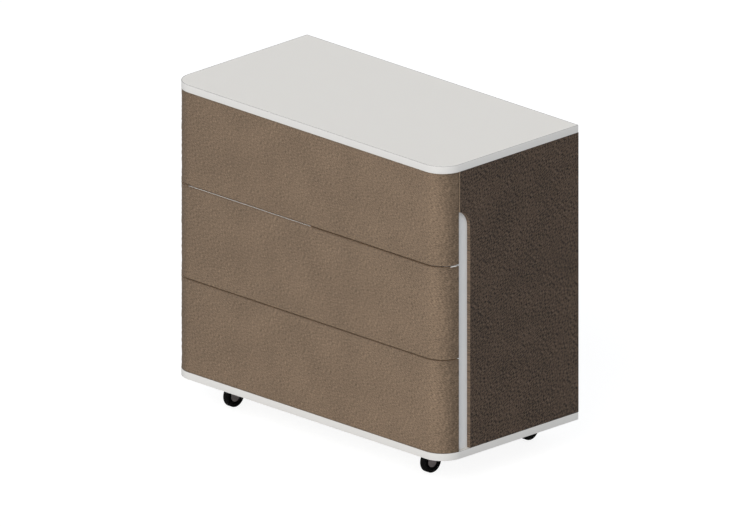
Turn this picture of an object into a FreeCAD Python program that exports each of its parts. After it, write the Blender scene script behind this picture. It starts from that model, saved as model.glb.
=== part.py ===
import FreeCAD, Part
import math
import os

os.makedirs("parts", exist_ok=True)

# A low chest of three drawers on swivel casters. White boards above and below, leather-clad
# fronts that wrap round the front corners, leather-clad side panels with a finger notch.
# X runs to the right, Y to the back and Z up, with the origin on the floor below the middle.

# Body without its casters
width = 800.0
depth = 400.0
body_height = 650.0
corner_radius = 50.0
board_thickness = 16.0

# Leather-clad side panels
cladding_thickness = 9.0
cladding_clearance = 0.5
grip_width = 30.0
panel_above_grip = 89.0
grip_corner_radius = 40.0

# Back panel, and the loose tongues glued into grooves where the sides meet top and base
back_thickness = 8.0
tongue_thickness = 4.0
tongue_end_gap = 45.0
tongue_in_board = 10.0
tongue_in_side = 20.0
tongue_clearance = 0.1

# Drawer fronts: a moulded leather-clad shell on a white backing board
drawer_names = ("lower", "middle", "upper")
gap_above_base = 1.5
gaps_between_fronts = (3.0, 4.0)
gap_under_top = 0.5
shell_thickness = 3.0
shell_edge_bevel = 0.8
return_gap = 3.0
backing_thickness = 16.0
closing_gap = 3.0

# Drawer boxes
box_wall = 12.0
box_rise = 18.0
space_above_box = 35.0
space_behind_box = 19.0
bottom_thickness = 5.0
bottom_rise = 12.0
groove_depth = 6.0
groove_clearance = 0.1

# Telescopic runners, three nested sheet members with ball cages between them
runner_thickness = 12.5
runner_height = 45.0
runner_rise = 45.0
runner_setback = 1.0
sheet = 1.2
ball_diameter = 3.5
lip = 3.0
middle_web_gap = 0.8
member_gap = 0.4
cage_length = 80.0
cage_width = 3.6
cage_clearance = 0.15
cage_end_gap = 6.0

# Swivel casters
caster_inset_side = 110.0
caster_inset_end = 56.0
caster_height = 62.0
caster_trail = 18.0
wheel_radius = 25.0
wheel_width = 14.0
shoulder_width = 0.5
shoulder_drop = 1.0
axle_diameter = 6.0
axle_clearance = 0.08
fork_sheet = 2.0
fork_end_radius = 11.5
fork_end_lead = 3.5
fork_bend_radius = 3.0
wheel_side_gap = 0.5
plate_size = 42.0
plate_thickness = 2.0
plate_corner_cut = 5.0
cup_diameter = 32.0
cup_height = 4.0
cup_taper = 3.0
swivel_gap = 0.3
king_pin_diameter = 8.0
king_pin_clearance = 0.08
king_pin_head_diameter = 13.0
king_pin_head = 2.0

# Planes worked out from the sizes above
front = -depth / 2
base_underside = caster_height
base_top = base_underside + board_thickness
top_face = base_underside + body_height
top_underside = top_face - board_thickness
side_outer = width / 2 - cladding_thickness
side_inner = side_outer - board_thickness
side_front = shell_thickness + backing_thickness + closing_gap
side_back = depth - back_thickness
front_height = (
    top_underside - base_top - gap_above_base - sum(gaps_between_fronts) - gap_under_top
) / len(drawer_names)
box_outer = side_inner - runner_thickness
box_inner = box_outer - box_wall
box_front = shell_thickness + backing_thickness
box_back = side_back - space_behind_box
box_height = front_height - box_rise - space_above_box
runner_front = side_front + runner_setback
runner_back = box_back


def vector(x, y, z):
    return FreeCAD.Vector(x, y, z)


def mirrored(shape):
    """The same piece on the left, reflected in the middle plane."""
    return shape.mirror(vector(0, 0, 0), vector(1, 0, 0))


def both_sides(shape):
    return [mirrored(shape), shape]


def block(x_low, x_high, depth_low, depth_high, z_low, z_high):
    """A board between two planes each way, with its depth measured from the front."""
    corner = vector(x_low, front + depth_low, z_low)
    return Part.makeBox(x_high - x_low, depth_high - depth_low, z_high - z_low, corner)


def rounded_plan(inset, z_low, z_high):
    """The body's plan with its two round front corners, drawn in by inset all round but the back."""
    x = width / 2 - inset
    x_centre = width / 2 - corner_radius
    y_centre = front + corner_radius
    radius = corner_radius - inset
    middle = radius * math.sqrt(0.5)
    back_left = vector(-x, depth / 2, z_low)
    left = vector(-x, y_centre, z_low)
    front_left = vector(-x_centre, front + inset, z_low)
    front_right = vector(x_centre, front + inset, z_low)
    right = vector(x, y_centre, z_low)
    back_right = vector(x, depth / 2, z_low)
    left_middle = vector(-x_centre - middle, y_centre - middle, z_low)
    right_middle = vector(x_centre + middle, y_centre - middle, z_low)
    wire = Part.Wire([
        Part.LineSegment(back_left, left).toShape(),
        Part.Arc(left, left_middle, front_left).toShape(),
        Part.LineSegment(front_left, front_right).toShape(),
        Part.Arc(front_right, right_middle, right).toShape(),
        Part.LineSegment(right, back_right).toShape(),
        Part.LineSegment(back_right, back_left).toShape(),
    ])
    return Part.Face(wire).extrude(vector(0, 0, z_high - z_low))


def cylinder(radius, start, direction, length):
    return Part.makeCylinder(radius, length, start, direction)


def revolved(profile, x_axis=False):
    """Turn a closed profile of radius and height about Z, or of radius and place about X."""
    if x_axis:
        points = [vector(along, 0, radius) for radius, along in profile]
        axis = vector(1, 0, 0)
    else:
        points = [vector(radius, 0, along) for radius, along in profile]
        axis = vector(0, 0, 1)
    wire = Part.makePolygon(points + points[:1])
    return Part.Face(wire).revolve(vector(0, 0, 0), axis, 360)


def save(name, *solids):
    shape = solids[0] if len(solids) == 1 else Part.makeCompound(list(solids))
    shape.exportStep(os.path.join("parts", name + ".step"))


# Boards of the carcass


def joint_tongues(clearance=0.0):
    """A loose tongue at the top and the foot of each side board, or the grooves that take them."""
    across = (side_inner + side_outer) / 2
    half = tongue_thickness / 2 + clearance
    middle = (side_front + side_back) / 2
    reach = (side_back - side_front) / 2 - tongue_end_gap + clearance
    in_board = tongue_in_board + clearance
    in_side = tongue_in_side + clearance
    tongues = []
    for low, high in (
        (base_top - in_board, base_top + in_side),
        (top_underside - in_side, top_underside + in_board),
    ):
        tongue = block(across - half, across + half, middle - reach, middle + reach, low, high)
        tongues += both_sides(tongue)
    return tongues


def top_board():
    return rounded_plan(0, top_underside, top_face).cut(joint_tongues(tongue_clearance))


def base_board():
    return rounded_plan(0, base_underside, base_top).cut(joint_tongues(tongue_clearance))


def side_board():
    """The right side board, its front edge rounded about the same centre as the front's corner."""
    board = block(side_inner, side_outer, side_front, side_back, base_top, top_underside)
    board = board.common(rounded_plan(cladding_thickness, base_top, top_underside))
    return board.cut(joint_tongues(tongue_clearance))


def back_panel():
    return block(-side_outer, side_outer, side_back, depth, base_top, top_underside)


def side_cladding():
    """The right leather-clad panel. A tall notch in its front edge leaves room for the fingers."""
    low = base_top + cladding_clearance
    high = top_underside - cladding_clearance
    panel = block(side_outer, width / 2, corner_radius, depth, low, high)
    grip_back = corner_radius + grip_width
    arc_depth = grip_back - grip_corner_radius
    arc_z = top_underside - panel_above_grip - grip_corner_radius
    slot = block(side_outer, width / 2, arc_depth, grip_back, base_top, arc_z)
    arc_centre = vector(side_outer, front + arc_depth, arc_z)
    round_end = cylinder(grip_corner_radius, arc_centre, vector(1, 0, 0), cladding_thickness)
    return panel.cut([slot, round_end])


# Drawer fronts


def front_bottom(index):
    """The height of one front's lower edge."""
    gaps = gap_above_base + sum(gaps_between_fronts[:index])
    return base_top + gaps + index * front_height


def front_shell(z_low):
    """A moulded shell of even thickness that wraps both corners and stops short of the sides."""
    z_high = z_low + front_height
    shell = rounded_plan(0, z_low, z_high).cut(rounded_plan(shell_thickness, z_low, z_high))
    return_end = corner_radius - return_gap
    shell = shell.common(block(-width / 2, width / 2, 0, return_end, z_low, z_high))
    core = rounded_plan(shell_thickness / 2, z_low - 1, z_high + 1)
    tolerance = 0.001
    rims = [
        edge
        for edge in shell.Edges
        if edge.BoundBox.ZLength < tolerance
        and not core.isInside(edge.valueAt(sum(edge.ParameterRange) / 2), tolerance, True)
    ]
    return shell.makeChamfer(min(shell_edge_bevel, shell_thickness / 3), rims)


def backing_board(z_low):
    """The white board that fills the shell's front, its ends cut to the shell's inner curve."""
    z_high = z_low + front_height
    board = block(-width / 2, width / 2, shell_thickness, box_front, z_low, z_high)
    board = board.common(rounded_plan(shell_thickness, z_low, z_high))
    return board.cut(bottom_panel(z_low, groove_clearance))


# Drawer boxes, grooved for their bottoms


def box_bottom(z_low):
    """The height of a box's lower edge, from its front's lower edge."""
    return z_low + box_rise


def bottom_panel(z_low, clearance=0.0):
    """The bottom, let into grooves in the backing board and both sides, and under the back."""
    z = box_bottom(z_low) + bottom_rise
    reach = box_inner + groove_depth + clearance
    start = box_front - groove_depth - clearance
    z_high = z + bottom_thickness + clearance
    return block(-reach, reach, start, box_back + clearance, z - clearance, z_high)


def box_side(z_low):
    z = box_bottom(z_low)
    side = block(box_inner, box_outer, box_front, box_back, z, z + box_height)
    return side.cut(bottom_panel(z_low, groove_clearance))


def box_back_board(z_low):
    z = box_bottom(z_low)
    lower_edge = z + bottom_rise + bottom_thickness + groove_clearance
    return block(-box_inner, box_inner, box_back - box_wall, box_back, lower_edge, z + box_height)


# Telescopic runners. A runner's own width is measured inwards from the side board, so that
# the cabinet member lies on the board and the drawer member on the drawer's side.

outer_half = runner_height / 2
middle_half = outer_half - sheet - ball_diameter
inner_half = middle_half - sheet - ball_diameter
middle_web = sheet + middle_web_gap
inner_reach = runner_thickness - sheet - member_gap
middle_flange = inner_reach - middle_web
drawer_flange = runner_thickness - middle_web - sheet - middle_web_gap


def channel(web, half, flange, lip_size, z, towards_cabinet=False):
    """A folded member, seen from its end: a web, two flanges, and lips that keep the balls in.

    The lips of the drawer member turn outwards, and the others' turn inwards."""
    turn = -1 if towards_cabinet else 1
    end = web + turn * flange
    lip_inner = end - turn * sheet
    back_of_web = web + turn * sheet
    lip_z = half + lip_size - sheet if towards_cabinet else half - lip_size
    flange_inner = half - sheet
    if towards_cabinet:
        upper = [
            (back_of_web, flange_inner), (end, flange_inner), (end, lip_z),
            (lip_inner, lip_z), (lip_inner, half), (web, half),
        ]
    else:
        upper = [
            (back_of_web, flange_inner), (lip_inner, flange_inner), (lip_inner, lip_z),
            (end, lip_z), (end, half), (web, half),
        ]
    lower = [(across, -height) for across, height in reversed(upper)]
    points = [
        vector(side_inner - across, front + runner_front, z + height)
        for across, height in upper + lower
    ]
    face = Part.Face(Part.makePolygon(points + points[:1]))
    return face.extrude(vector(0, runner_back - runner_front, 0))


def cabinet_member(z):
    return channel(0, outer_half, inner_reach, lip, z)


def middle_member(z):
    return channel(middle_web, middle_half, middle_flange, lip - sheet / 2, z)


def drawer_member(z):
    return channel(runner_thickness, inner_half, drawer_flange, lip - sheet / 2, z, True)


def ball_cages(z):
    """Four cages: the outer pair at the middle member's back, the inner pair at its front."""
    height = ball_diameter - 2 * cage_clearance
    outer_start = runner_back - cage_end_gap - cage_length
    inner_start = runner_front + cage_end_gap
    inner_near = middle_web + middle_flange - sheet - cage_clearance
    outer_near = middle_web + (middle_flange + cage_width) / 2
    cages = []
    rows = ((outer_start, outer_near, middle_half), (inner_start, inner_near, inner_half))
    for start, near, half in rows:
        for low in (half + cage_clearance, -half - cage_clearance - height):
            x_low = side_inner - near
            cages.append(block(
                x_low, x_low + cage_width, start, start + cage_length, z + low, z + low + height
            ))
    return cages


# Swivel casters, drawn with the swivel axis on Z and the wheel trailing towards the back

plate_bottom = caster_height - plate_thickness
cup_bottom = plate_bottom - cup_height
crown_top = cup_bottom - swivel_gap
crown_bottom = crown_top - fork_sheet
wheel_half = wheel_width / 2
leg_inner = wheel_half + wheel_side_gap
leg_outer = leg_inner + fork_sheet


def caster_places():
    """The four swivel axes, front left, front right, back left and back right."""
    x = width / 2 - caster_inset_side
    y = depth / 2 - caster_inset_end
    return [(-x, -y), (x, -y), (-x, y), (x, y)]


def caster_plate():
    """A square plate with the upper half of the swivel race pressed under its middle, and the
    riveted king pin that the fork turns on."""
    half = plate_size / 2
    corner = vector(-half, -half, plate_bottom)
    plate = Part.makeBox(plate_size, plate_size, plate_thickness, corner)
    corners = [edge for edge in plate.Edges if edge.BoundBox.ZLength > plate_thickness / 2]
    plate = plate.makeChamfer(plate_corner_cut, corners)
    cup_radius = cup_diameter / 2
    pin = king_pin_diameter / 2
    head = king_pin_head_diameter / 2
    head_top = crown_bottom - swivel_gap
    race_and_pin = revolved([
        (0, plate_bottom), (cup_radius, plate_bottom), (cup_radius - cup_taper, cup_bottom),
        (pin, cup_bottom), (pin, head_top), (head, head_top), (head, head_top - king_pin_head),
        (0, head_top - king_pin_head),
    ])
    return plate.fuse(race_and_pin).removeSplitter()


def fork():
    """Bent from one sheet: a crown under the plate and two legs with round ends. Each leg's front
    edge rises straight from the end and then runs forwards to the crown, and its back edge leans
    out along the end's tangent."""
    end_y = caster_trail - fork_end_lead
    leg_front = end_y - fork_end_radius
    crown_front = -cup_diameter / 2
    crown_back = caster_trail + fork_end_radius - fork_bend_radius
    crown_edge = crown_bottom - fork_bend_radius
    to_y = crown_back - end_y
    to_z = crown_edge - wheel_radius
    lean = math.atan2(to_z, to_y) - math.acos(fork_end_radius / math.hypot(to_y, to_z))
    end_back = vector(
        -leg_outer,
        end_y + fork_end_radius * math.cos(lean),
        wheel_radius + fork_end_radius * math.sin(lean),
    )
    lowest = vector(-leg_outer, end_y, wheel_radius - fork_end_radius)
    end_front = vector(-leg_outer, leg_front, wheel_radius)
    straight_edges = Part.makePolygon([
        end_back,
        vector(-leg_outer, crown_back, crown_edge),
        vector(-leg_outer, crown_back, crown_top),
        vector(-leg_outer, crown_front, crown_top),
        vector(-leg_outer, crown_front, crown_edge),
        vector(-leg_outer, leg_front, crown_edge - (leg_front - crown_front)),
        end_front,
    ]).Edges
    round_end = Part.Arc(end_front, lowest, end_back).toShape()
    body = Part.Face(Part.Wire(straight_edges + [round_end])).extrude(vector(2 * leg_outer, 0, 0))
    bends = [
        edge
        for edge in body.Edges
        if edge.BoundBox.YLength > cup_diameter and edge.BoundBox.ZMin > crown_top - 0.001
    ]
    body = body.makeFillet(fork_bend_radius, bends)
    inside = Part.makeBox(
        2 * leg_inner, 2 * plate_size, crown_bottom, vector(-leg_inner, -plate_size / 2, 0)
    )
    hole_radius = king_pin_diameter / 2 + king_pin_clearance
    hole = cylinder(hole_radius, vector(0, 0, 0), vector(0, 0, 1), caster_height)
    return body.cut([inside, hole, axle()])


def axle():
    """A pin across both legs, riveted flush with their outer faces."""
    start = vector(-leg_outer, caster_trail, wheel_radius)
    return cylinder(axle_diameter / 2, start, vector(1, 0, 0), 2 * leg_outer)


def wheel():
    """Moulded in one piece, with a flat tread between sloping shoulders."""
    bore = axle_diameter / 2 + axle_clearance
    side_radius = wheel_radius - shoulder_drop
    tread = wheel_half - shoulder_width
    turned = revolved([
        (bore, -wheel_half), (side_radius, -wheel_half), (wheel_radius, -tread),
        (wheel_radius, tread), (side_radius, wheel_half), (bore, wheel_half),
    ], True)
    return turned.translated(vector(0, caster_trail, wheel_radius))


# Every piece in its place

save("top_board", top_board())
save("base_board", base_board())
left_board, right_board = both_sides(side_board())
save("side_board_left", left_board)
save("side_board_right", right_board)
left_cladding, right_cladding = both_sides(side_cladding())
save("side_cladding_left", left_cladding)
save("side_cladding_right", right_cladding)
save("back_panel", back_panel())
save("joint_tongues", *joint_tongues())

cabinet_members = []
for index, name in enumerate(drawer_names):
    z_low = front_bottom(index)
    z_runner = box_bottom(z_low) + runner_rise
    save("front_shell_" + name, front_shell(z_low))
    save("backing_board_" + name, backing_board(z_low))
    left_side, right_side = both_sides(box_side(z_low))
    save("box_side_left_" + name, left_side)
    save("box_side_right_" + name, right_side)
    save("box_back_" + name, box_back_board(z_low))
    save("box_bottom_" + name, bottom_panel(z_low))
    save("runner_drawer_members_" + name, *both_sides(drawer_member(z_runner)))
    save("runner_middle_members_" + name, *both_sides(middle_member(z_runner)))
    cages = ball_cages(z_runner)
    save("ball_cages_" + name, *cages, *[mirrored(cage) for cage in cages])
    cabinet_members += both_sides(cabinet_member(z_runner))
save("runner_cabinet_members", *cabinet_members)

caster_names = ("front_left", "front_right", "back_left", "back_right")
plates = []
for name, (x, y) in zip(caster_names, caster_places()):
    place = vector(x, y, 0)
    plates.append(caster_plate().translated(place))
    save("caster_fork_" + name, fork().translated(place))
    save("caster_axle_" + name, axle().translated(place))
    save("caster_wheel_" + name, wheel().translated(place))
save("caster_plates", *plates)
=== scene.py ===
import math

import bmesh
import bpy
import numpy as np
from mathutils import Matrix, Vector


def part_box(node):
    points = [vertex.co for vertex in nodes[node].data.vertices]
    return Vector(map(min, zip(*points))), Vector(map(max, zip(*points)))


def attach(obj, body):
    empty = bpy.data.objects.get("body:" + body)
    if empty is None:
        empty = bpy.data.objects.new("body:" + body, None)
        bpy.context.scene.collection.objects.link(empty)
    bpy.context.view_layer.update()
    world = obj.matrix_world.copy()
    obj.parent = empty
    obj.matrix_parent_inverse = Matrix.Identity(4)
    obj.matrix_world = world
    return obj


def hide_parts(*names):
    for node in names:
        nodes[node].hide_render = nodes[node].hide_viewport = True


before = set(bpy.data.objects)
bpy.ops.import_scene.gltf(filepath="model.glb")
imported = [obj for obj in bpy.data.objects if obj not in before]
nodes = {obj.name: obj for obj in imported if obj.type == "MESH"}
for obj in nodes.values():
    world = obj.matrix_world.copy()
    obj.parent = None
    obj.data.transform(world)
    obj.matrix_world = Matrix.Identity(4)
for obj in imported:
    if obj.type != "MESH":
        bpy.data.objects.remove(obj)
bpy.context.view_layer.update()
mm = 0.001


# Top and base boards
# 16 mm particle board faced with white melamine, both cut to one plan with round front
# corners. A thin edge band is glued on all round and its arrises are broken with a scraper.

# Its finish, like every later one, is put together from nodes by the classes that follow.


class Reading:
    """One output of a node, such as a number or colour that changes over the surface. Sums on
    readings add Math nodes to the same wiring."""

    def __init__(self, wiring, socket):
        self.wiring = wiring
        self.socket = socket

    def maths(self, operation, *operands):
        return self.wiring.add("Math", {"operation": operation}, dict(enumerate(operands)))

    def __add__(self, other):
        return self.maths("ADD", self, other)

    def __sub__(self, other):
        return self.maths("SUBTRACT", self, other)

    def __rsub__(self, other):
        return self.maths("SUBTRACT", other, self)

    def __mul__(self, other):
        return self.maths("MULTIPLY", self, other)

    __radd__ = __add__
    __rmul__ = __mul__


class Wiring:
    """A node tree that is being put together, each new node of it by the method add."""

    def __init__(self, tree):
        self.tree = tree

    def feed(self, socket, value):
        """A reading is linked to the socket, and anything else is set on it."""
        if isinstance(value, Reading):
            self.tree.links.new(value.socket, socket)
        else:
            socket.default_value = value

    def add(self, kind, settings=None, inputs=None, output=0):
        """One node: its settings first, then what its sockets are fed."""
        node = self.tree.nodes.new("ShaderNode" + kind)
        for setting, value in (settings or {}).items():
            setattr(node, setting, value)
        for socket, value in (inputs or {}).items():
            self.feed(node.inputs[socket], value)
        return Reading(self, node.outputs[output])


class Finish(Wiring):
    """The wiring of a material. What is even all over the surface is set on its shader first."""

    def __init__(self, name, **even):
        self.material = bpy.data.materials.new(name)
        self.material.use_nodes = True
        super().__init__(self.material.node_tree)
        self.shader = self.tree.nodes["Principled BSDF"]
        self.paint(**even)

    def paint(self, **sockets):
        """Feeds the shader's sockets. A name has _ where the socket's own has a space."""
        for socket, value in sockets.items():
            self.feed(self.shader.inputs[socket.replace("_", " ")], value)
        return self

    def place(self, size, on_uv=True, turn=0.0, start=0.0):
        """Coordinates in units of size, on the piece's own UV map or in the object's frame, and
        along axes that are turned in its plane."""
        where = self.add("TexCoord", output="UV" if on_uv else "Object")
        return self.add("Mapping", {"vector_type": "TEXTURE"}, {
            "Vector": where, "Location": (start, 0.7 * start, 0.3 * start),
            "Rotation": (0, 0, turn), "Scale": size if isinstance(size, tuple) else (size,) * 3,
        })

    def field(self, name):
        """A number that the mesh holds for each of its points."""
        return self.add("Attribute", {"attribute_name": name}, output="Fac")

    def mix(self, amount, first, second):
        """A colour between two colours."""
        return self.add("Mix", {"data_type": "RGBA"}, {0: amount, 6: first, 7: second}, 2)

    def relief(self, height, depth):
        """Small relief, as a Bump node, of a height reading from 0 to 1 that stands for depth."""
        bump = self.add("Bump", None, {"Height": height, "Distance": depth, "Strength": 1.0})
        return self.paint(Normal=bump)


def scaled(colour, share):
    """The same colour, lighter or darker, as an opaque one."""
    return tuple(part * share for part in colour[:3]) + (1,)


def finished(mesh_object, finish):
    """The piece has this finish and no other."""
    mesh_object.data.materials.clear()
    mesh_object.data.materials.append(finish.material)


def new_piece(name, points, faces, finish, body, uv=None, fields=None, crisp=35):
    """A mesh of points and faces, turned outwards, shaded smooth but at its crisp edges."""
    mesh = bpy.data.meshes.new(name)
    mesh.from_pydata(np.asarray(points, float).reshape(-1, 3), [], faces)
    corner_points = np.empty(len(mesh.loops), int)
    mesh.loops.foreach_get("vertex_index", corner_points)
    if uv is not None:
        flat_uv = np.asarray(uv, float).reshape(-1, 2)[corner_points]
        mesh.uv_layers.new(name="UVMap").data.foreach_set("uv", flat_uv.ravel())
    for field, values in (fields or {}).items():
        layer = mesh.attributes.new(field, "FLOAT", "POINT")
        layer.data.foreach_set("value", np.asarray(values, float).ravel())
    shell = bmesh.new()
    shell.from_mesh(mesh)
    bmesh.ops.recalc_face_normals(shell, faces=shell.faces)
    shell.to_mesh(mesh)
    shell.free()
    mesh.shade_smooth()
    mesh.set_sharp_from_angle(angle=math.radians(crisp))
    piece = bpy.data.objects.new(name, mesh)
    bpy.context.scene.collection.objects.link(piece)
    finished(piece, finish)
    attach(piece, body)
    return piece


def grid_faces(rows, columns, wrap=False):
    """The four-sided faces of a grid of points. With wrap the last column meets the first."""
    row = np.arange(rows - 1)[:, None]
    column = np.arange(columns if wrap else columns - 1)[None, :]
    following = (column + 1) % columns
    corners = (row * columns + column, row * columns + following,
               (row + 1) * columns + following, (row + 1) * columns + column)
    return np.stack(np.broadcast_arrays(*corners), axis=-1).reshape(-1, 4).tolist()


def capped_faces(rows, columns):
    """The faces of a wrapped grid, with a flat face over its first and its last row."""
    ends = [list(range(columns)), list(range((rows - 1) * columns, rows * columns))]
    return grid_faces(rows, columns, wrap=True) + ends


white = (0.870, 0.843, 0.809, 1)
# The flat faces' warmer tint is painted warm light that falls on the top.
painted_warm_light = (1.0, 0.988, 0.965)
glue_line_and_shade_grey = (0.09, 0.085, 0.08, 1)
cloud_size = 120 * mm
cloud_shade = 0.975
pearl_size = 0.6 * mm
pearl_depth = 0.02 * mm
band_thickness = 0.95 * mm
arris = 0.35 * mm
seam_half_width = 0.55 * mm
seam_depth = 0.1 * mm
plan_radius = 50 * mm
back_corner_radius = 2 * mm
front_corner_steps = 33
back_corner_steps = 5


def melamine(name, facing, banded=False):
    """White facing with a faint pearl grain. On a banded board one field darkens the glue line of
    the band and, as painted shade, the arris beside it; a level field tints the flat faces
    warmer, as painted warm light that falls on the top."""
    finish = Finish(name, Specular_IOR_Level=0.3)
    cloud = finish.add("TexNoise", None, {
        "Vector": finish.place(cloud_size, on_uv=False), "Detail": 3.0})
    shade = finish.mix(cloud * 0.5, facing, scaled(facing, cloud_shade))
    if banded:
        warm_lit_facing = tuple(part * share for part, share in zip(facing, painted_warm_light)) + (1,)
        shade = finish.mix(finish.field("level"), shade, warm_lit_facing)
        shade = finish.mix(finish.field("glue_line_and_arris_shade"), shade, glue_line_and_shade_grey)
    pearl = finish.add("TexNoise", None, {
        "Vector": finish.place(pearl_size, on_uv=False), "Detail": 2.0})
    finish.paint(Base_Color=shade, Roughness=0.42 + 0.12 * cloud)
    return finish.relief(pearl, pearl_depth)


def rounded_outline(low, high, inset):
    """Anticlockwise from the right back corner: each corner is its centre plus a quarter
    circle, and the straight edges are what joins them."""
    outline = []
    for turn, (side, end) in enumerate(((1, 1), (-1, 1), (-1, -1), (1, -1))):
        radius = back_corner_radius if end > 0 else plan_radius
        steps = back_corner_steps if end > 0 else front_corner_steps
        angle = math.pi / 2 * (turn + np.linspace(0, 1, steps))
        centre_x = high.x - radius if side > 0 else low.x + radius
        centre_y = high.y - radius if end > 0 else low.y + radius
        reach = radius - inset
        outline.append(np.stack([
            centre_x + reach * np.cos(angle), centre_y + reach * np.sin(angle)], -1))
    return np.concatenate(outline)


def banded_board(name, node, finish):
    """Rings of the outline, each at its inset and height: flat face, seam, arris, edge and back
    again. Two flat faces close the rings."""
    low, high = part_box(node)
    seam_in = band_thickness + seam_half_width
    seam_out = band_thickness - seam_half_width
    curve = np.linspace(0, math.pi / 2, 5)
    inset = np.concatenate([
        [seam_in + arris, seam_in, band_thickness, seam_out], arris * (1 - np.sin(curve))])
    drop = np.concatenate([[0, 0, seam_depth, 0], arris * (1 - np.cos(curve))])
    glue_line_and_arris_shade_rows = np.zeros(len(inset))
    # The band's glue line is dark, and the arris rows beside it fade off a painted shade that dims
    # their highlight.
    glue_line_and_arris_shade_rows[1:7] = (0.25, 1, 1, 0.7, 0.4, 0.2)
    insets = np.concatenate([inset, inset[::-1]])
    heights = np.concatenate([high.z - drop, (low.z + drop)[::-1]])
    plan = np.stack([rounded_outline(low, high, distance) for distance in insets])
    rows, columns = plan.shape[:2]
    height = np.broadcast_to(heights[:, None, None], (rows, columns, 1))
    points = np.concatenate([plan, height], -1)
    glue_line_and_arris_shade = np.repeat(np.concatenate([glue_line_and_arris_shade_rows, glue_line_and_arris_shade_rows[::-1]]), columns)
    level = np.zeros(rows * columns)
    level[:columns] = level[-columns:] = 1
    piece = new_piece(name, points, capped_faces(rows, columns), finish, "cabinet",
                      fields={"glue_line_and_arris_shade": glue_line_and_arris_shade, "level": level})
    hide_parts(node)


banded_finish = melamine("white melamine with edge band", white, banded=True)
banded_board("top_board_banded", "top_board", banded_finish)
banded_board("base_board_banded", "base_board", banded_finish)


# Side boards, back panel and the loose tongues between the boards
# White melamine-faced board with its edges eased, and plain beech tongues that are glued into
# grooves. The back panel lies on the sides' back edges.

beech = Finish("plain beech", Roughness=0.6)
beech_grain = beech.add("TexNoise", None, {
    "Vector": beech.place((2 * mm, 60 * mm, 2 * mm), on_uv=False), "Detail": 4.0})
beech.paint(Base_Color=beech.mix(beech_grain, (0.50, 0.33, 0.19, 1), (0.66, 0.47, 0.29, 1)))
beech.relief(beech_grain, 0.05 * mm)
finished(nodes["joint_tongues"], beech)

flat_within_deg = 0.5
crisp_edge_deg = 32
board_ease = 0.5 * mm


def eased_copy(node, name, ease, finish, body):
    """A copy of a CAD piece whose triangles are joined to flat faces and whose edges are eased."""
    source = nodes[node].data
    corners = np.empty(len(source.vertices) * 3)
    source.vertices.foreach_get("co", corners)
    triangles = [tuple(face.vertices) for face in source.polygons]
    mesh = bpy.data.meshes.new(name)
    mesh.from_pydata(corners.reshape(-1, 3), [], triangles)
    shell = bmesh.new()
    shell.from_mesh(mesh)
    bmesh.ops.remove_doubles(shell, verts=shell.verts, dist=0.002 * mm)
    bmesh.ops.dissolve_limit(
        shell, angle_limit=math.radians(flat_within_deg), verts=shell.verts, edges=shell.edges)
    shell.to_mesh(mesh)
    shell.free()
    mesh.shade_smooth()
    mesh.set_sharp_from_angle(angle=math.radians(crisp_edge_deg))
    piece = bpy.data.objects.new(name, mesh)
    bpy.context.scene.collection.objects.link(piece)
    bevel = piece.modifiers.new("eased edges", "BEVEL")
    bevel.width = ease
    bevel.segments = 2
    bevel.limit_method = "ANGLE"
    bevel.angle_limit = math.radians(crisp_edge_deg)
    bevel.harden_normals = True
    finished(piece, finish)
    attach(piece, body)
    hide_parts(node)


# The carcass white is a lighter copy of the boards' melamine: painted light that lifts the shade
# in the notch.
carcass_white_painted_light = (0.955, 0.945, 0.930, 1)
white_finish = melamine("white carcass melamine with painted light", carcass_white_painted_light)
for part in ("side_board_left", "side_board_right", "back_panel"):
    eased_copy(part, part + "_eased", board_ease, white_finish, "cabinet")


# Leather side panels
# Thin board covered in wrinkled leather that is turned round every edge and glued behind. Its
# face is coloured far darker than the fronts' leather: painted shade of the side faces.
# A tall notch in the front edge leaves room for the fingers behind the drawer fronts' returns.

notch_radius = 40 * mm
notch_depth = 30 * mm
notch_top = 567 * mm
notch_round = 1.4 * mm
panel_round = 0.6 * mm
leather_step = 1.7 * mm
fold_margin = 2 * mm
side_fold_depth = 0.4 * mm

# A fold's length, its width and its turn in degrees.
side_fold = (7 * mm, 4 * mm, 38)

# The share of the lighter edge tone on the front edge above the notch, where it is painted
# light in the gap's shade, and in the notch, where it is edge paint; and the strip of painted
# shade beside the lit edge.
painted_light_above_notch = 1.0
paint_in_notch = 0.36
painted_light_width = 0.9 * mm
shaded_edge = 4 * mm
edge_shade = 0.5

wander_size = 60 * mm
wander_reach = 14 * mm
crease_width = 0.2
patch_size = 90 * mm
pore_groove = 0.12


def hills(x, y, seed):
    """Smooth random hills from about -1 to 1: a slope is drawn for each corner of a square cell,
    and the four planes through the corners are blended with an ease curve."""
    cells = 128
    turn = np.random.default_rng(seed).uniform(0, 2 * math.pi, (cells, cells))
    column = np.floor(x).astype(int)
    row = np.floor(y).astype(int)
    total = 0
    for i in (0, 1):
        for j in (0, 1):
            dx = x - column - i
            dy = y - row - j
            slope = turn[(column + i) % cells, (row + j) % cells]
            near_x = 1 - np.abs(dx)
            near_y = 1 - np.abs(dy)
            ease_x = near_x ** 3 * (near_x * (6 * near_x - 15) + 10)
            ease_y = near_y ** 3 * (near_y * (6 * near_y - 15) + 10)
            total = total + ease_x * ease_y * (dx * np.cos(slope) + dy * np.sin(slope))
    return 1.5 * total


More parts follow.
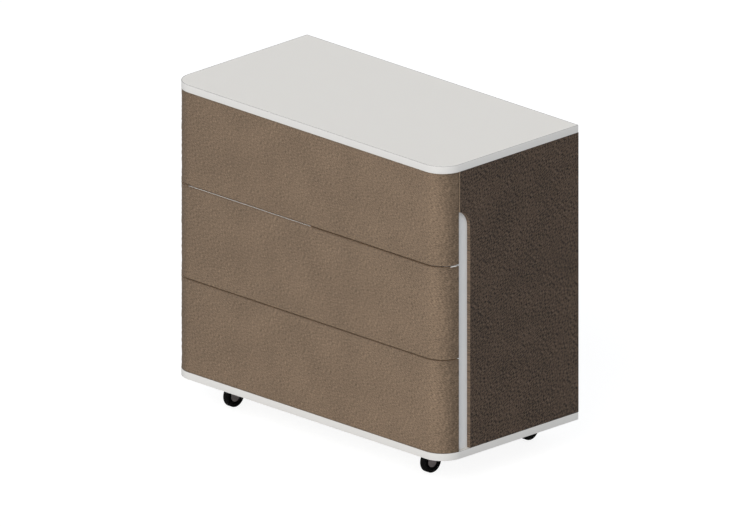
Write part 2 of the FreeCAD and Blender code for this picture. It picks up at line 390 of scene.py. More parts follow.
def wrinkled(u, v, length, width, turn_deg, seed):
    """Wrinkled hide, from about -1 in its creases to 1 on its folds: hills stretched along a
    direction that wanders, with a crease wherever they cross zero, on broader swellings."""
    u_bent = u + wander_reach * hills(u / wander_size, v / wander_size, seed)
    v_bent = v + wander_reach * hills(u / wander_size, v / wander_size, seed + 1)
    turn = math.radians(turn_deg)
    along = u_bent * math.cos(turn) + v_bent * math.sin(turn)
    across = v_bent * math.cos(turn) - u_bent * math.sin(turn)
    folds = hills(along / length, across / width, seed + 2)
    cross_folds = hills(0.8 * along / length, 0.6 * across / width, seed + 3)
    swelling = hills(u / (9 * width), v / (9 * width), seed + 4)
    crease = np.exp(-(folds / crease_width) ** 2)
    return 0.6 * folds + 0.35 * cross_folds + 0.2 * swelling - 0.45 * crease


def leather(name, middle, swing, edge_paint_and_light_colour, pore, grain, grain_turn, tones, grain_depth):
    """Leather of a middle shade with a swing each way. Tones are the parts that the fold field,
    the streaky grain and slow patches have in it. An edge field gives it a lighter edge tone:
    edge paint in the side panels' notches, and painted light on their edges above the notches
    and on the fronts' flaps. A painted shade field darkens it towards black."""
    finish = Finish(name, Specular_IOR_Level=0.22)
    streaks = finish.add("TexNoise", None, {
        "Vector": finish.place((grain[0], grain[1], 1), turn=math.radians(grain_turn)),
        "Detail": 1.0, "Roughness": 0.3, "Scale": 1.0})
    pebbles = finish.add("TexVoronoi", {"feature": "DISTANCE_TO_EDGE"}, {
        "Vector": finish.place(pore), "Scale": 1.0})
    patches = finish.add("TexNoise", None, {
        "Vector": finish.place(patch_size, start=3.0), "Detail": 2.0, "Scale": 1.0})
    groove = finish.add("MapRange", None, {"Value": pebbles, "From Max": pore_groove})
    fold_tone, grain_tone, patch_tone = tones
    # The fold, grain and pore tones follow the relief, lighter where it rises and darker in its
    # creases and grooves: partly the leather's own grain, partly painted shade.
    tone = (finish.field("fold") - 0.5) * fold_tone + (streaks - 0.5) * grain_tone
    tone = tone + (patches - 0.5) * patch_tone + (groove - 0.7) * 0.12 + 0.5
    skin = finish.mix(
        finish.add("Clamp", None, {"Value": tone}),
        scaled(middle, 1 - swing), scaled(middle, 1 + swing))
    worn_edge_paint_and_light = finish.mix(streaks, scaled(edge_paint_and_light_colour, 0.6), scaled(edge_paint_and_light_colour, 1.4))
    skin = finish.mix(finish.field("edge"), skin, worn_edge_paint_and_light)
    skin = finish.mix(finish.field("painted_shade"), skin, (0, 0, 0, 1))
    finish.paint(Base_Color=skin, Roughness=0.72 - 0.16 * streaks)
    return finish.relief(streaks + groove * 0.05, grain_depth)


# The side leather's dark colour is painted shade of the side faces, which turn from the light.
side_leather = leather(
    "wrinkled leather with painted shade", middle=(0.102, 0.0685, 0.0470), swing=0.85,
    edge_paint_and_light_colour=(0.50, 0.36, 0.25), pore=1.3 * mm, grain=(5.5 * mm, 1.6 * mm), grain_turn=48,
    tones=(0.3, 3.9, 0.5), grain_depth=5.0 * mm)


def edge_steps(start, end, inner_step, first_round, last_round):
    """Places across a face: closely spaced round each edge, then even steps between."""
    curve = 1 - np.cos(np.linspace(0, math.pi / 2, 5))
    flat = end - start - first_round - last_round
    inside = np.linspace(0, 1, max(2, round(flat / inner_step)))
    even = start + first_round + inside * flat
    return np.concatenate([
        start + first_round * curve[:-1], even, end - last_round * curve[-2::-1]])


def rounding(radius, *distances):
    """How far a face falls away near its edges: a quarter circle over each edge and an eighth
    of a ball over each corner."""
    short = [np.clip(radius - distance, 0, None) for distance in distances]
    reach = np.minimum(np.sqrt(sum(gap ** 2 for gap in short)), radius)
    return radius - np.sqrt(radius ** 2 - reach ** 2)


def side_heights(low, high, arc_top):
    """The heights of the face's rows, with rows of their own up the round end of the notch."""
    heights = edge_steps(low.z, high.z, leather_step, panel_round, panel_round)
    heights = heights[(heights < notch_top - 1 * mm) | (heights > arc_top + 1 * mm)]
    sweep = np.linspace(0, math.asin((arc_top - notch_top) / notch_radius), 30)
    arc_heights = notch_top + notch_radius * np.sin(sweep)
    above = arc_top + notch_round * np.linspace(0.2, 1, 3)
    return np.unique(np.concatenate([heights, arc_heights, above]))


def leather_side(side, sign, seed):
    """Each point has a place between the notched front edge and the back edge, and a height.
    The outer face is drawn in by the rounding and the folds, then closed by a back face."""
    low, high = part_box("side_cladding_" + side)
    outer = high.x if sign > 0 else low.x
    inner = low.x if sign > 0 else high.x
    arc_top = notch_top + math.sqrt(notch_radius ** 2 - (notch_radius - notch_depth) ** 2)
    arc_y = low.y + notch_depth - notch_radius
    heights = side_heights(low, high, arc_top)
    in_arc = np.clip(heights - notch_top, 0, notch_radius)
    arc_edge = arc_y + np.sqrt(notch_radius ** 2 - in_arc ** 2)
    front_edge = np.where(heights <= arc_top, arc_edge, low.y)
    full = high.y - low.y
    across = edge_steps(0.0, full, leather_step, notch_round, panel_round) / full
    near = np.minimum(across, 0.5) * 2
    far = np.maximum(across - 0.5, 0) * 2
    middle = (low.y + high.y) / 2
    y = np.where(
        across[None, :] <= 0.5,
        front_edge[:, None] + near[None, :] * (middle - front_edge[:, None]),
        middle + far[None, :] * (high.y - middle))
    z = np.broadcast_to(heights[:, None], y.shape)
    from_arc = np.hypot(y - arc_y, z - notch_top) - notch_radius
    from_front = np.where(z < notch_top, y - low.y - notch_depth, from_arc)
    from_front = np.where(z > arc_top, np.minimum(from_arc, y - low.y), from_front)
    plain_edges = (high.y - y, z - low.z, high.z - z)
    front_fall = rounding(notch_round, from_front)
    fall = np.maximum(front_fall, rounding(panel_round, *plain_edges))
    folds = wrinkled(sign * y, z, *side_fold, seed)
    from_edges = np.minimum(from_front, np.min(plain_edges, 0))
    inland = np.clip(from_edges / fold_margin, 0, 1)
    depth = fall + side_fold_depth * (1 - folds) * inland
    x = outer - sign * np.clip(depth, 0, None)

    rows, columns = y.shape
    face = np.stack([x, y, z], -1)
    row_start = np.arange(rows) * columns
    rim_index = np.concatenate([
        np.arange(columns), row_start[1:] + columns - 1,
        row_start[-1] + np.arange(columns - 2, -1, -1), row_start[-2:0:-1]])
    behind = face.reshape(-1, 3)[rim_index]
    behind[:, 0] = inner
    base = rows * columns
    count = len(rim_index)
    step = np.arange(count)
    following = (step + 1) % count
    skirt = np.stack([rim_index, rim_index[following], base + following, base + step], -1)
    ring = {int(point): base + place for place, point in enumerate(rim_index)}
    back = [[ring[row * columns], ring[row * columns + columns - 1],
             ring[(row + 1) * columns + columns - 1], ring[(row + 1) * columns]]
            for row in range(1, rows - 2)]
    first = [base + column for column in range(columns)]
    first += [ring[2 * columns - 1], ring[columns]]
    last_row = (rows - 1) * columns
    last = [ring[last_row + column] for column in range(columns)]
    last += [ring[last_row - 1], ring[last_row - columns]]
    faces = grid_faces(rows, columns) + skirt.tolist() + back + [first, last]
    points = np.concatenate([face.reshape(-1, 3), behind])
    uv = points[:, 1:] * (sign, 1)

    fold_field = np.concatenate([(0.5 + 0.5 * folds).ravel(), np.full(count, 0.5)])
    # Above the notch the front edge takes the full lighter tone as painted light; in the notch a
    # smaller share of it, as edge paint.
    paint = np.where(z > arc_top, painted_light_above_notch, paint_in_notch)
    edge_paint_and_light = (paint * np.clip(7 * front_fall / notch_round - 0.1, 0, 1)).ravel()
    on_rim = from_front.ravel()[rim_index] < 0.01 * mm
    edge_paint_and_light = np.concatenate([edge_paint_and_light, np.where(on_rim, paint.ravel()[rim_index], 0.0)])
    # Above the notch a strip of painted shade darkens the leather just behind the lit edge.
    shaded = np.clip(1 - np.where(z > arc_top, from_front / shaded_edge, 1), 0, 1)
    painted_shade_strip = edge_shade * shaded * (from_front > painted_light_width)
    painted_shade = np.concatenate([painted_shade_strip.ravel(), np.zeros(count)])
    piece = new_piece(
        "side_panel_leather_" + side, points, faces, side_leather, "cabinet", uv,
        {"fold": fold_field, "edge": edge_paint_and_light, "painted_shade": painted_shade}, crisp=50)
    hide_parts("side_cladding_" + side)


leather_side("right", 1, seed=11)
leather_side("left", -1, seed=31)


# Drawer fronts
# A moulded shell wrapped in soft brown leather, which stretches round both front corners and
# ends in a short return beside the finger notch. A white board is glued inside it.

front_leather = leather(
    "brown leather", middle=(0.288, 0.201, 0.133), swing=0.5,
    edge_paint_and_light_colour=(0.50, 0.36, 0.25), pore=1.0 * mm, grain=(5.5 * mm, 1.5 * mm), grain_turn=-25,
    tones=(0.15, 1.8, 0.37), grain_depth=1.8 * mm)
shell_thickness = 3 * mm
turned_in = 9 * mm
trimmed_in = shell_thickness + 0.1 * mm
trimmed_from_deg = 63
trimmed_within_deg = 3
flap_thickness = 0.15 * mm
front_round = 0.9 * mm
end_round = 0.4 * mm
leather_end = 0.5 * mm
front_step = 2.0 * mm
front_margin = 3 * mm
front_fold = (9 * mm, 4 * mm, -28)
front_fold_height = 0.2 * mm
front_sunk = 0.2 * mm
corner_fold = (10 * mm, 5 * mm, 62)
corner_fold_height = 1.3 * mm
corner_sunk = 0.8 * mm
corner_fold_painted_shade = 4
bend_from_deg = 12
bend_full_deg = 60
low_edge_shade = 0.3
high_edge_shade = 0.2
backing_ease = 0.4 * mm

# Painted shade on the leather, as places and their shares: in millimetres along the front,
# darker towards the left, and in degrees round a corner, darker as the leather turns from the
# light, with a painted highlight where the right corner's share dips near 20 degrees.
painted_shade_along = (-350, 0, 220, 340, 350), (0.155, 0.12, 0.10, 0.076, 0.06)
painted_shade_right = (0, 20, 45, 60, 70, 80, 85, 87), (0.06, 0.01, 0.085, 0.21, 0.285, 0.31, 0.35, 0.6)
painted_shade_left = (0, 20, 45), (0.155, 0.32, 0.36)


def front_path(low, high):
    """The front's plan from the left return to the right one: an arc, a straight run and an arc,
    with the way it faces at each point and the length travelled."""
    radius = plan_radius
    end_angle = math.asin((radius - (high.y - low.y) - leather_end) / radius)
    sweep = math.pi / 2 - end_angle
    first_x = low.x + radius
    straight = high.x - radius - first_x
    arc_length = radius * sweep
    total = 2 * arc_length + straight
    s = edge_steps(0.0, total, front_step, end_round, end_round)
    facing = np.where(
        s < arc_length, (s - arc_length) / radius,
        np.where(s > total - arc_length, (s - total + arc_length) / radius, 0))
    centre_x = first_x + np.clip(s - arc_length, 0, straight)
    normal = np.stack([np.sin(facing), -np.cos(facing)], -1)
    centre = np.stack([centre_x, np.full_like(s, low.y + radius)], -1)
    return s, total, facing, centre, normal


def leather_front(name, seed, below=0.0, above=0.0):
    """The path carried up the front's height, as rows that each have a depth behind the outer
    curve and a height. The outer face is drawn in by its rounded edges and its folds, then come
    the flap turned over the top edge, the shell's inner face and the flap below. The leather may
    stand a little below or above the shell, and its flaps are trimmed at the upper gap's ends."""
    node = "front_shell_" + name
    low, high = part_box(node)
    low.z -= below
    high.z += above
    s, total, facing, centre, normal = front_path(low, high)
    turn = np.degrees(facing)
    heights = edge_steps(low.z, high.z, front_step, front_round, front_round)
    along, up = np.meshgrid(s, heights)
    from_edges = (along, total - along, up - low.z, high.z - up)
    fall = np.maximum(
        rounding(end_round, *from_edges[:2]), rounding(front_round, *from_edges[2:]))
    folds = wrinkled(along, up - low.z, *front_fold, seed)
    cross_folds = wrinkled(along, up - low.z, *corner_fold, seed + 9)
    bend = (np.abs(turn) - bend_from_deg) / (bend_full_deg - bend_from_deg)
    bend = np.clip(bend, 0, 1)[None, :]
    inland = np.clip(np.min(from_edges, 0) / front_margin, 0, 1)
    height = front_fold_height * folds * (1 - bend) + corner_fold_height * cross_folds * bend
    sunk = front_sunk + corner_sunk * bend
    outer_depth = np.clip(fall + (sunk - height) * inland, 0, None)
    rim = front_round + flap_thickness
    past_corner = np.clip((np.abs(turn) - trimmed_from_deg) / trimmed_within_deg, 0, 1)
    trimmed = turned_in + (trimmed_in - turned_in) * past_corner
    flap_above = trimmed if name == "middle" else turned_in
    flap_below = trimmed if name == "upper" else turned_in
    around = [
        (rim, high.z + flap_thickness), (shell_thickness, high.z + flap_thickness),
        (flap_above, high.z + flap_thickness), (flap_above, high.z),
        (shell_thickness, high.z), (shell_thickness, low.z), (flap_below, low.z),
        (flap_below, low.z - flap_thickness), (rim, low.z - flap_thickness),
    ]
    row = np.ones((1, len(s)))
    depth = np.concatenate([outer_depth] + [row * d for d, z in around])
    up = np.concatenate([up] + [row * z for d, z in around])
    along = np.broadcast_to(s, depth.shape)
    plan = centre[None] + normal[None] * (plan_radius - depth)[..., None]
    rows, columns = depth.shape
    points = np.concatenate([plan, up[..., None]], -1)
    across = np.arange(columns)[:, None] * rows + np.arange(rows)[None, :]
    faces = [face[::-1] for face in grid_faces(columns, rows, wrap=True)]
    faces += [across[0].tolist(), across[-1, ::-1].tolist()]
    spread = np.where(depth > shell_thickness - 0.01 * mm, depth, 0)
    turned_over = np.where(up > high.z - 0.001 * mm, spread, -spread)
    uv = np.stack([along, up - low.z + turned_over], -1)

    outer_rows = len(heights)
    fold_field = np.full(depth.shape, 0.5)
    # Round the corners the folds' tone is made much stronger: painted shade and highlight of the
    # wrinkles where the light grazes them.
    wrinkles = folds * (1 - bend) + corner_fold_painted_shade * cross_folds * bend
    fold_field[:outer_rows] = 0.5 + 0.5 * wrinkles
    # Painted shade by place along the front and by turn round the corners.
    painted_shade_by_place = np.where(
        facing > 0, np.interp(turn, *painted_shade_right),
        np.where(facing < 0, np.interp(-turn, *painted_shade_left),
                 np.interp(centre[:, 0] / mm, *painted_shade_along)))
    painted_shade = np.broadcast_to(painted_shade_by_place, depth.shape).copy()
    near_low, near_high = (np.clip(1.5 - gap / front_round, 0, 1) for gap in from_edges[2:])
    painted_shade[:outer_rows] += (low_edge_shade if below else 0.0) * near_low
    painted_shade[:outer_rows] += high_edge_shade * near_high
    painted_shade[outer_rows:] = 0
    # The flaps and the shell's inner face, seen in the gaps, take the lighter edge tone: painted
    # light that lifts the gaps' shade.
    flaps = np.ones(depth.shape)
    flaps[:outer_rows + 2] = 0
    piece = new_piece(
        "front_leather_" + name, points.transpose(1, 0, 2), faces, front_leather,
        "drawer_" + name, uv.transpose(1, 0, 2),
        {"fold": fold_field.T, "edge": flaps.T, "painted_shade": painted_shade.T}, crisp=50)
    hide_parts(node)


# How far the leather stands below its shell and above it.
drawers = ("lower", "middle", "upper")
overhangs = {"lower": (1.25 * mm, 0.0), "middle": (0.0, 0.0), "upper": (0.0, 0.25 * mm)}
front_seed = 51
for drawer in drawers:
    leather_front(drawer, front_seed, *overhangs[drawer])
    eased_copy("backing_board_" + drawer, "backing_board_eased_" + drawer, backing_ease,
               white_finish, "drawer_" + drawer)


# Edge bands of the middle front
# White plastic band glued along the front's top edge, a little proud of the leather: one length
# on the backing board's left half, and a short one on the right return.

band_low, band_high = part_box("front_shell_middle")
band_depth = 2.2 * mm
band_ease = 0.3 * mm
band_rise = 3 * mm
band_end_share = 0.15
quarter = np.linspace(0, math.pi / 2, 4)


def edge_band(name, centres, normals, start, proud):
    """A band with eased edges, carried along a path in plan. It begins at a depth behind the
    outer curve, and rises out of the leather at both ends."""
    rising = band_ease * (1 - np.cos(quarter))
    falling = band_ease * (1 - np.sin(quarter))
    depth = np.concatenate([[0], rising, band_depth - falling, [band_depth]])
    top = np.concatenate([[0], proud - falling, proud - rising, [0]])
    path = centres + normals * (plan_radius - start)
    steps = np.linalg.norm(np.diff(path, axis=0), axis=1)
    travelled = np.concatenate([[0], np.cumsum(steps)])
    lift = np.clip(np.minimum(travelled, travelled[-1] - travelled) / band_rise, 0, 1)
    plan = path[:, None] - normals[:, None] * depth[None, :, None]
    share = band_end_share + (1 - band_end_share) * lift
    height = band_high.z + top[None] * share[:, None]
    points = np.concatenate([plan, height[..., None]], -1)
    faces = capped_faces(*points.shape[:2])
    band = new_piece(name, points, faces, white_finish, "drawer_middle")


board_band_starts = band_low.x + plan_radius - 4 * mm
board_band_ends = 8 * mm
board_x = np.linspace(board_band_starts, board_band_ends, 60)
board_path = np.stack([board_x, np.full_like(board_x, band_low.y + plan_radius)], -1)
board_normal = np.broadcast_to((0.0, -1.0), board_path.shape)
edge_band("edge_band_middle", board_path, board_normal,
          start=shell_thickness + 0.2 * mm, proud=0.75 * mm)
return_band_starts_deg = 64
return_band_ends_deg = 83
return_angle = np.radians(np.linspace(return_band_starts_deg, return_band_ends_deg, 14))
return_normal = np.stack([np.sin(return_angle), -np.cos(return_angle)], -1)
return_path = np.broadcast_to(
    (band_high.x - plan_radius, band_low.y + plan_radius), return_normal.shape)
edge_band("edge_band_return_middle", return_path, return_normal, start=1.1 * mm, proud=1.3 * mm)


# Drawer boxes
# Sides and back of 12 mm board wrapped in white foil, and a thin white-faced fibreboard bottom
# that slides into grooves in the sides and the backing board.

foil = Finish("white foil", Specular_IOR_Level=0.35)
foil_cloud = foil.add("TexNoise", None, {
    "Vector": foil.place(90 * mm, on_uv=False), "Detail": 2.0})
foil_grain = foil.add("TexNoise", None, {
    "Vector": foil.place((1.5 * mm, 40 * mm, 1.5 * mm), on_uv=False), "Detail": 3.0})
foil.paint(
    Base_Color=foil.mix(foil_cloud, (0.80, 0.785, 0.76, 1), (0.84, 0.825, 0.80, 1)),
    Roughness=0.38 + 0.1 * foil_grain)
foil.relief(foil_grain, 0.03 * mm)

bottom_facing = Finish("white faced fibreboard", Specular_IOR_Level=0.3)
bottom_grain = bottom_facing.add("TexNoise", None, {
    "Vector": bottom_facing.place(1.2 * mm, on_uv=False), "Detail": 3.0})
bottom_facing.paint(
    Base_Color=bottom_facing.mix(bottom_grain, (0.76, 0.745, 0.72, 1), (0.82, 0.805, 0.78, 1)),
    Roughness=0.5 + 0.1 * bottom_grain)
bottom_facing.relief(bottom_grain, 0.03 * mm)

box_ease = 0.6 * mm
for drawer in drawers:
    for part in ("box_side_left", "box_side_right", "box_back"):
        eased_copy(part + "_" + drawer, part + "_eased_" + drawer, box_ease, foil,
                   "drawer_" + drawer)
    finished(nodes["box_bottom_" + drawer], bottom_facing)


# Runners
# Three nested channels of zinc-plated steel sheet, rolled to shape, with balls in moulded cages
# between them. They are screwed to the side boards and to the drawer boxes.

zinc = Finish("zinc plated sheet", Metallic=1.0)
spangle = zinc.add("TexVoronoi", None, {
    "Vector": zinc.place(7 * mm, on_uv=False), "Scale": 1.0}, "Color")
spangle_value = zinc.add("SeparateColor", None, {0: spangle})
draw_lines = zinc.add("TexNoise", None, {
    "Vector": zinc.place((0.5 * mm, 120 * mm, 0.5 * mm), on_uv=False), "Detail": 2.0})
zinc.paint(
    Base_Color=zinc.mix(spangle_value, (0.55, 0.57, 0.60, 1), (0.68, 0.69, 0.70, 1)),
    Roughness=0.28 + 0.14 * draw_lines)
zinc.relief(draw_lines, 0.02 * mm)

finished(nodes["runner_cabinet_members"], zinc)
for drawer in drawers:
    finished(nodes["runner_drawer_members_" + drawer], zinc)
    finished(nodes["runner_middle_members_" + drawer], zinc)


# Ball cages and balls
# Four strips of moulded plastic in each runner, scalloped round ten steel balls apiece. The two
# outer ones sit at the back of the middle member, and the two inner ones at its front.

cage_plastic = Finish("moulded cage", Specular_IOR_Level=0.4)
cage_grain = cage_plastic.add("TexNoise", None, {
    "Vector": cage_plastic.place(0.5 * mm, on_uv=False), "Detail": 2.0})
cage_plastic.paint(
    Base_Color=cage_plastic.mix(cage_grain, (0.05, 0.05, 0.052, 1), (0.09, 0.09, 0.092, 1)),
    Roughness=0.45 + 0.1 * cage_grain)

ball_steel = Finish("polished ball", Metallic=1.0)
ball_film = ball_steel.add("TexNoise", None, {
    "Vector": ball_steel.place(1 * mm, on_uv=False)})
ball_steel.paint(
    Base_Color=ball_steel.mix(ball_film, (0.66, 0.66, 0.67, 1), (0.78, 0.78, 0.79, 1)),
    Roughness=0.10 + 0.12 * ball_film)

ball_radius = 1.7 * mm
ball_pitch = 8 * mm
balls_in_cage = 10
cage_length = 80 * mm
cage_size = np.array([3.6, 3.2]) * mm
cage_waist = 0.62
cage_bulge = 0.22
side_board_face = 375 * mm
outer_strip_in = 6.45 * mm
inner_strip_in = 7.75 * mm
member_step = 4.7 * mm


def turned(profile, columns=32):
    """A grid of points round the Z axis: each row of the profile is a radius and a height."""
    radius, height = np.asarray(profile, float).T
    angle = np.linspace(0, 2 * math.pi, columns, endpoint=False)
    ring = np.stack([np.cos(angle), np.sin(angle)], -1)
    plan = radius[:, None, None] * ring[None]
    heights = np.broadcast_to(height[:, None, None], plan.shape[:2] + (1,))
    return np.concatenate([plan, heights], -1)


def repeated(points, faces, places, axes):
    """Copies of one shape, the Z axis of each turned to an axis and moved to its place."""
    flat = points.reshape(-1, 3)
    copies = []
    for place, axis in zip(places, axes):
        turn = np.array(Vector(axis).to_track_quat("Z", "Y").to_matrix())
        copies.append(flat @ turn.T + np.asarray(place))
    numbers = [[corner + copy * len(flat) for corner in face]
               for copy in range(len(copies)) for face in faces]
    return np.concatenate(copies), numbers


# A strip has an eight-sided section that narrows between one ball and the next.
cage_stations = np.linspace(0, cage_length, 10 * balls_in_cage + 1)
from_ball = (cage_stations / ball_pitch) % 1 - 0.5
waist = cage_waist + (1 - cage_waist) * np.exp(-(from_ball / cage_bulge) ** 2)
cage_corners = np.array([
    (1, -0.7), (1, 0.7), (0.7, 1), (-0.7, 1), (-1, 0.7), (-1, -0.7), (-0.7, -1), (0.7, -1)])
strip = np.empty((len(cage_stations), len(cage_corners), 3))
strip[..., :2] = cage_corners[None] * cage_size / 2 * waist[:, None, None]
strip[..., 2] = cage_stations[:, None]

# A ball is a few rings of eight points, with a small flat face at each pole.
pole = np.linspace(-0.45, 0.45, 5) * math.pi
ball = turned(ball_radius * np.stack([np.cos(pole), np.sin(pole)], -1), columns=8)

for drawer in drawers:
    low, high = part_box("ball_cages_" + drawer)
    middle_z = (low.z + high.z) / 2
    outer_z = (high.z - low.z - cage_size[1]) / 2
    inner_z = outer_z - member_step
    starts = []
    for side in (-1, 1):
        outer_x = side * (side_board_face - outer_strip_in)
        inner_x = side * (side_board_face - inner_strip_in)
        for up in (-1, 1):
            starts.append((outer_x, high.y - cage_length, middle_z + up * outer_z))
            starts.append((inner_x, low.y, middle_z + up * inner_z))
    starts = np.array(starts)
    strips, strip_faces = repeated(
        strip, capped_faces(*strip.shape[:2]), starts, [(0, 1, 0)] * len(starts))
    cages = new_piece(
        "moulded_cages_" + drawer, strips, strip_faces, cage_plastic, "runner_" + drawer)
    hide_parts("ball_cages_" + drawer)
    along = (np.arange(balls_in_cage) + 0.5) * ball_pitch
    places = (starts[:, None, :] + along[None, :, None] * np.array([0, 1, 0])).reshape(-1, 3)
    spheres, sphere_faces = repeated(
        ball, capped_faces(*ball.shape[:2]), places, [(0, 1, 0)] * len(places))
    balls = new_piece(
        "runner_balls_" + drawer, spheres, sphere_faces, ball_steel, "runner_" + drawer)


# Screws
# Zinc-plated wood screws with a cross recess, driven into the boards. Pan heads hold the runners
# and the caster plates, and countersunk heads lie level with the back panel.

screw_zinc = Finish("zinc plated screw", Metallic=1.0)
screw_film = screw_zinc.add("TexNoise", None, {
    "Vector": screw_zinc.place(0.9 * mm, on_uv=False), "Detail": 2.0})
screw_shade = screw_zinc.mix(screw_film, (0.56, 0.57, 0.58, 1), (0.72, 0.72, 0.72, 1))
screw_zinc.paint(
    # The cross recess is painted near black: painted shade of the recess.
    Base_Color=screw_zinc.mix(screw_zinc.field("recess_shade"), screw_shade, (0.05, 0.05, 0.05, 1)),
    Roughness=0.25 + 0.2 * screw_film)

dome_shares = np.array([0.08, 0.2, 0.34, 0.5, 0.66, 0.8, 0.9, 0.97, 1.0])
dome_fall = 0.92
cross_half_width = 0.14
cross_reach = 0.62
cross_depth = 0.55
shank_share = 0.45
shank_length = 1 * mm

# Each kind of head has a radius and a height.
plate_head = (3.4 * mm, 1.8 * mm)
back_head = (3.5 * mm, 0.04 * mm)
runner_head = (3 * mm, 1.3 * mm)


def screw_group(name, radius, height, places, axis, body, slot):
    """A profile turned round each screw's axis: a dome whose height is the root of one less
    nearly the fourth power of the way out, and a short shank that reaches into the wood. A cross
    is pressed into the dome, and a field paints it near black as painted shade of the recess."""
    columns = 24
    dome = height * np.sqrt(1 - dome_fall * dome_shares ** 4)
    grid = turned(np.stack([radius * dome_shares, dome], -1), columns)
    x, y = grid[..., 0], grid[..., 1]
    arm = np.minimum(np.abs(x), np.abs(y)) < cross_half_width * radius
    pressed = arm & (np.hypot(x, y) < cross_reach * radius)
    grid[..., 2] -= np.where(pressed, cross_depth * height, 0)
    shank_radius = shank_share * radius
    shank = turned([(radius, 0), (shank_radius, 0), (shank_radius, -shank_length)], columns)
    grid = np.concatenate([grid, shank])
    recess_shade = np.concatenate([pressed.astype(float), np.zeros(shank.shape[:2])])
    points, faces = repeated(grid, capped_faces(*grid.shape[:2]), places, [axis] * len(places))
    group = new_piece(
        name, points, faces, screw_zinc, body,
        fields={"recess_shade": np.tile(recess_shade.ravel(), len(places))}, crisp=40)


caster_places = [(x * mm, y * mm) for y in (-144, 144) for x in (-290, 290)]
plate_screw_offset = 15.4 * mm
plate_underside = 60 * mm
screw_group(
    "caster_plate_screws", *plate_head,
    [(x + i * plate_screw_offset, y + j * plate_screw_offset, plate_underside)
     for x, y in caster_places for i in (-1, 1) for j in (-1, 1)],
    (0, 0, -1), "cabinet", "caster_steel")

back_low, back_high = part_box("back_panel")
edge_in = 8 * mm
back_x = np.linspace(back_low.x + edge_in, back_high.x - edge_in, 7)
back_z = np.linspace(back_low.z + edge_in, back_high.z - edge_in, 6)
screw_group(
    "back_panel_screws", *back_head,
    [(x, back_high.y, z) for x in back_x for z in back_z
     if x in (back_x[0], back_x[-1]) or z in (back_z[0], back_z[-1])],
    (0, 1, 0), "cabinet", "white_board")

runner_screw_in = 11.3 * mm
runner_screw_places = (30 * mm, 175 * mm, 320 * mm)
for drawer in drawers:
    low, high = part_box("runner_drawer_members_" + drawer)
    height = (low.z + high.z) / 2
    for side, name in ((-1, "left"), (1, "right")):
        head_x = side * (side_board_face - runner_screw_in)
        screw_group(
            "runner_screws_" + name + "_" + drawer, *runner_head,
            [(head_x, low.y + distance, height) for distance in runner_screw_places],
            (side, 0, 0), "drawer_" + drawer, "runner_steel")


# Casters
# A fork of pressed steel sheet, painted grey, turns under its plate on a riveted pin. It carries a
# black plastic wheel, moulded in one piece, on a riveted axle.

caster_paint = Finish("grey painted sheet", Specular_IOR_Level=0.45)
paint_cloud = caster_paint.add("TexNoise", None, {
    "Vector": caster_paint.place(6 * mm, on_uv=False), "Detail": 4.0})
paint_peel = caster_paint.add("TexNoise", None, {
    "Vector": caster_paint.place(0.9 * mm, on_uv=False), "Detail": 1.0})
caster_paint.paint(
    Base_Color=caster_paint.mix(
        paint_cloud, (0.150, 0.128, 0.124, 1), (0.205, 0.178, 0.172, 1)),
    Roughness=0.40 + 0.15 * paint_cloud)
caster_paint.relief(paint_peel, 0.03 * mm)

wheel_black = Finish("black moulded wheel", Specular_IOR_Level=0.06)
wheel_grain = wheel_black.add("TexNoise", None, {
    "Vector": wheel_black.place(0.8 * mm, on_uv=False), "Detail": 3.0})
wheel_scuff = wheel_black.add("TexNoise", None, {
    "Vector": wheel_black.place(9 * mm, on_uv=False), "Detail": 5.0})
wheel_black.paint(
    Base_Color=wheel_black.mix(
        wheel_scuff, (0.002, 0.002, 0.002, 1), (0.008, 0.0075, 0.007, 1)),
    Roughness=0.5 + 0.25 * wheel_scuff)
wheel_black.relief(wheel_grain, 0.05 * mm)

# The wheel's section, from its bore to its tread, is carried round the axle. Between the ribs
# its sides are recessed.
wheel_radius = 25 * mm
caster_trail = 18 * mm
fork_ease = 0.35 * mm
ribs_in_wheel = 6
rib_half_width_deg = 4.5
rib_face = 5.2 * mm
rib_angles = np.radians([-25, -20, -14, -8, -5.6, -4, 0, 4, 5.6, 8, 14, 20, 25, 30])
rib_turns = np.arange(ribs_in_wheel) * 2 * math.pi / ribs_in_wheel
wheel_angles = (rib_turns[:, None] + rib_angles[None]).ravel()
on_rib = np.tile(np.abs(rib_angles) < math.radians(rib_half_width_deg), ribs_in_wheel)
outer_face = np.array([
    (3.08, 7.0), (6.4, 7.0), (6.9, 6.6), (7.2, 3.4), (8.0, 2.9), (17.4, 2.9), (18.2, 3.4),
    (18.6, 6.2), (19.0, 6.7), (22.8, 7.0), (24.1, 6.95), (24.7, 6.6), (25.0, 5.8), (25.0, 2.2),
]) * mm
recessed = np.array([0, 0, 0, 1, 1, 1, 1, 0, 0, 0, 0, 0, 0, 0], bool)
half_depth = np.where(recessed[:, None] & on_rib[None], rib_face, outer_face[:, 1][:, None])
section_radius = np.concatenate([outer_face[:, 0], outer_face[::-1, 0]])
section_depth = np.concatenate([half_depth, -half_depth[::-1]])
wheel_grid = np.stack([
    section_depth,
    section_radius[:, None] * np.cos(wheel_angles)[None],
    section_radius[:, None] * np.sin(wheel_angles)[None],
], -1)
rows, columns = wheel_grid.shape[:2]
wheel_faces = np.array(grid_faces(rows + 1, columns, wrap=True)) % (rows * columns)

# The axle's two heads are domed where the rivet is closed on the fork's legs.
leg_outer = 9.5 * mm
head_curve = np.array([
    (0.3, 0.75), (1.6, 0.7), (2.9, 0.52), (3.8, 0.25), (4.1, 0.0), (3.0, 0.0)]) * mm
axle_profile = np.concatenate([
    head_curve + (0, leg_outer), (head_curve * (1, -1) - (0, leg_outer))[::-1]])
axle_grid = turned(axle_profile)

